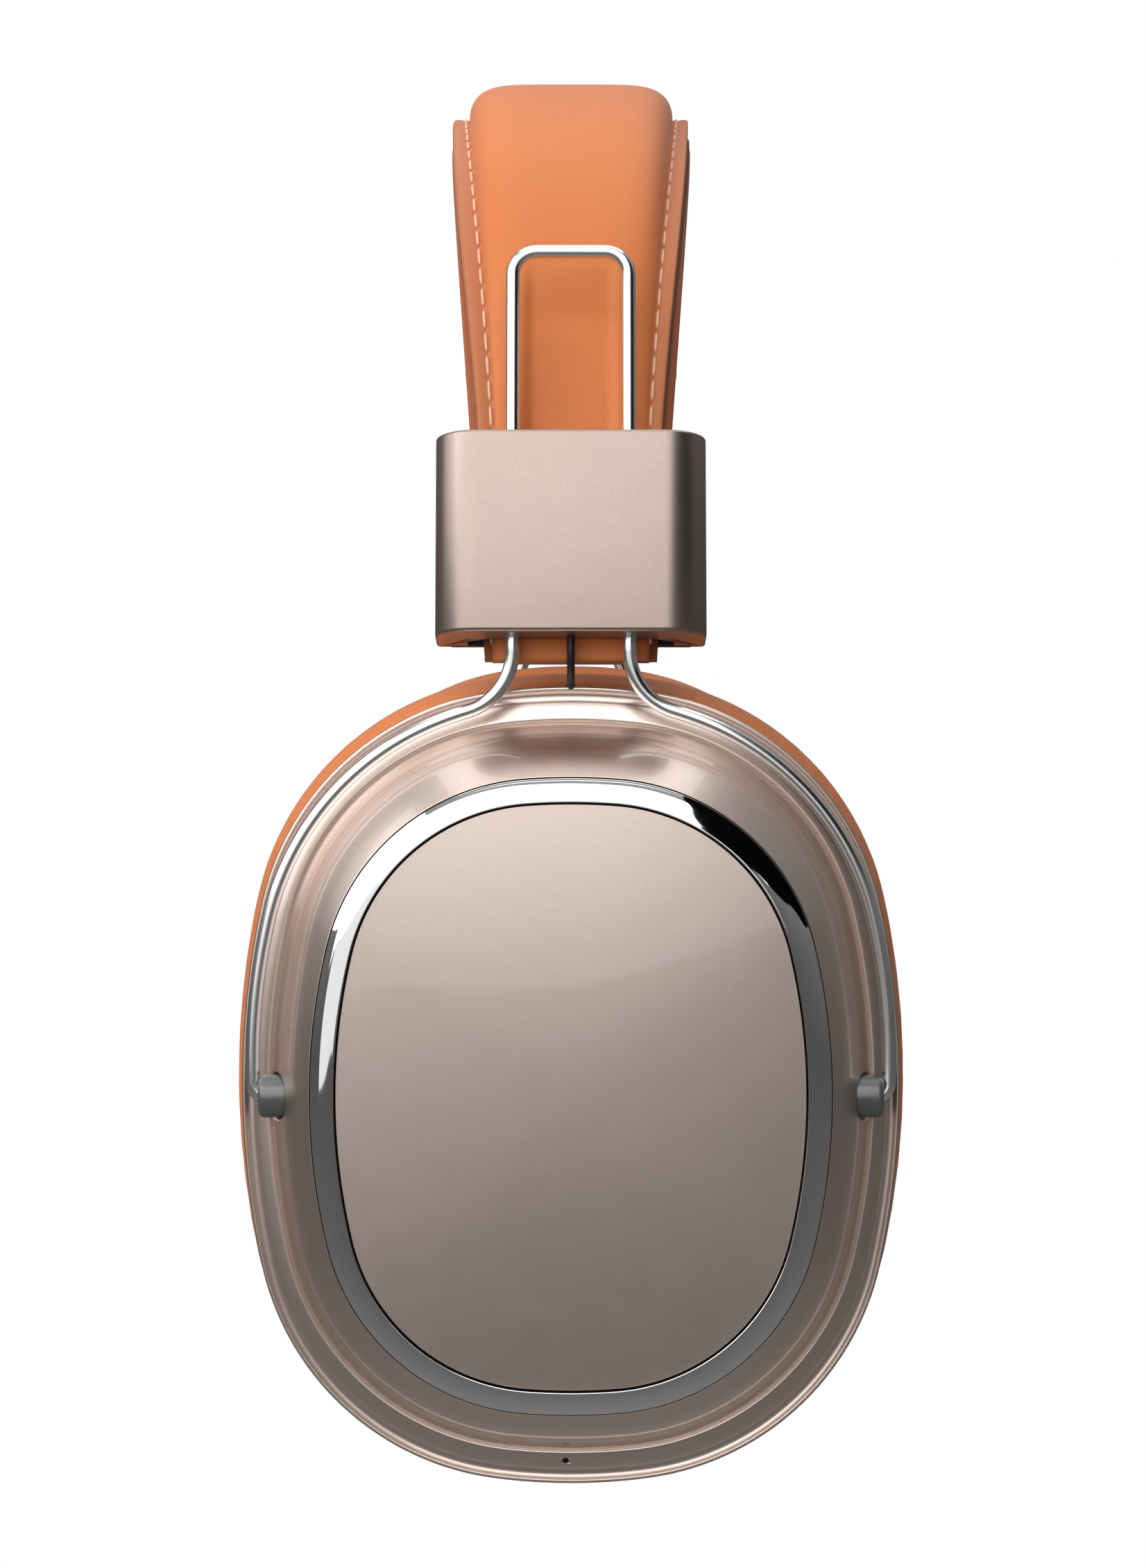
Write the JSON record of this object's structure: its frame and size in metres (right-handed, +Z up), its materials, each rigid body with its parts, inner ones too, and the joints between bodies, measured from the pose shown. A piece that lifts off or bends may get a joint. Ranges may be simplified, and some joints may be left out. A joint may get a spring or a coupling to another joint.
{
  "type": "over-ear headphones",
  "caption": "Over-ear headphones with a stitched leather headband, sliding wire yokes in metal sleeves, and tilting oval cups with leather cushions.",
  "frame": {"origin": "underside of the headband cushion at the crown, where the top of the head touches it", "axes": "+X from the right ear to the left ear, +Z up, and the wearer faces -Y"},
  "size_m": [0.1724, 0.0866, 0.1871],
  "materials": {
    "tan_leather": "full grain, satin",
    "dark_leather": "soft lamb, matt",
    "champagne_metal": "champagne anodised, gloss",
    "champagne_lacquer": "metallic lacquer over a moulded housing",
    "chrome": "polished",
    "pivot_grey": "satin",
    "spring_steel": "rolled",
    "steel": "satin",
    "black_plastic": "moulded",
    "grey_plastic": "moulded",
    "foam": "open cell foam",
    "mesh_cloth": "acoustic weave",
    "lead_rubber": "satin",
    "board_green": "solder mask",
    "membrane": "film",
    "light_lens": "frosted",
    "cell_wrap": "wrapped"
  },
  "bodies": {
    "headband": {"spring_band": "spring_steel", "headband_cover": "tan_leather", "crown_foam": "foam", "headband_lining": "dark_leather", "headband_cushion": "dark_leather", "headband_cable": "lead_rubber", "sleeve_screws": "steel", "sleeve_shell_left": "champagne_metal", "sleeve_shell_right": "champagne_metal", "sleeve_back_left": "black_plastic", "sleeve_back_right": "black_plastic", "slider_guide_left": "grey_plastic", "slider_guide_right": "grey_plastic"},
    "yoke_left": {"yoke_wire_left": "chrome", "pivot_barrels_left": "pivot_grey", "cup_lead_left": "lead_rubber"},
    "cup_left": {"cup_shell_left": "champagne_lacquer", "trim_ring_left": "chrome", "face_plate_left": "champagne_metal", "baffle_left": "black_plastic", "baffle_screws_left": "steel", "cushion_mount_left": "black_plastic", "ear_cushion_left": "tan_leather", "ear_mesh_left": "mesh_cloth", "driver_basket_left": "black_plastic", "driver_diaphragm_left": "membrane", "driver_magnet_left": "steel", "pivot_bushes_left": "grey_plastic", "lead_grommet_left": "lead_rubber", "acoustic_foam_left": "foam", "aux_jack": "black_plastic", "usb_port": "steel", "microphone": "black_plastic", "status_light": "light_lens", "circuit_board": "board_green"},
    "yoke_right": {"yoke_wire_right": "chrome", "pivot_barrels_right": "pivot_grey", "cup_lead_right": "lead_rubber"},
    "cup_right": {"cup_shell_right": "champagne_lacquer", "trim_ring_right": "chrome", "face_plate_right": "champagne_metal", "baffle_right": "black_plastic", "baffle_screws_right": "steel", "cushion_mount_right": "black_plastic", "ear_cushion_right": "tan_leather", "ear_mesh_right": "mesh_cloth", "driver_basket_right": "black_plastic", "driver_diaphragm_right": "membrane", "driver_magnet_right": "steel", "pivot_bushes_right": "grey_plastic", "lead_grommet_right": "lead_rubber", "acoustic_foam_right": "foam", "battery": "cell_wrap", "battery_tray": "black_plastic"},
    "power_button": {"power_button": "champagne_lacquer"},
    "volume_up_button": {"volume_up_button": "champagne_lacquer"},
    "volume_down_button": {"volume_down_button": "champagne_lacquer"}
  },
  "joints": [
    {"name": "left_slide", "type": "slide", "parent": "headband", "child": "yoke_left", "axis": [0.1908, 0, -0.9816], "range_m": [0, 0.02]},
    {"name": "left_tilt", "type": "hinge", "parent": "yoke_left", "child": "cup_left", "pos_m": [0.07512, 0, -0.1182], "axis": [0, -1, 0], "range_deg": [-1, 14], "deforming": ["cup_lead_left"]},
    {"name": "right_slide", "type": "slide", "parent": "headband", "child": "yoke_right", "axis": [-0.1908, 0, -0.9816], "range_m": [0, 0.02]},
    {"name": "right_tilt", "type": "hinge", "parent": "yoke_right", "child": "cup_right", "pos_m": [-0.07512, 0, -0.1182], "axis": [0, 1, 0], "range_deg": [-1, 14], "deforming": ["cup_lead_right"]},
    {"name": "power_press", "type": "slide", "parent": "cup_left", "child": "power_button", "axis": [0, -0.8829, 0.4695], "range_m": [0, 0.0004], "stiffness_N_per_m": 1500},
    {"name": "volume_up_press", "type": "slide", "parent": "cup_left", "child": "volume_up_button", "axis": [0, -0.7193, 0.6947], "range_m": [0, 0.0004], "stiffness_N_per_m": 1500},
    {"name": "volume_down_press", "type": "slide", "parent": "cup_left", "child": "volume_down_button", "axis": [0, -0.5, 0.866], "range_m": [0, 0.0004], "stiffness_N_per_m": 1500}
  ]
}
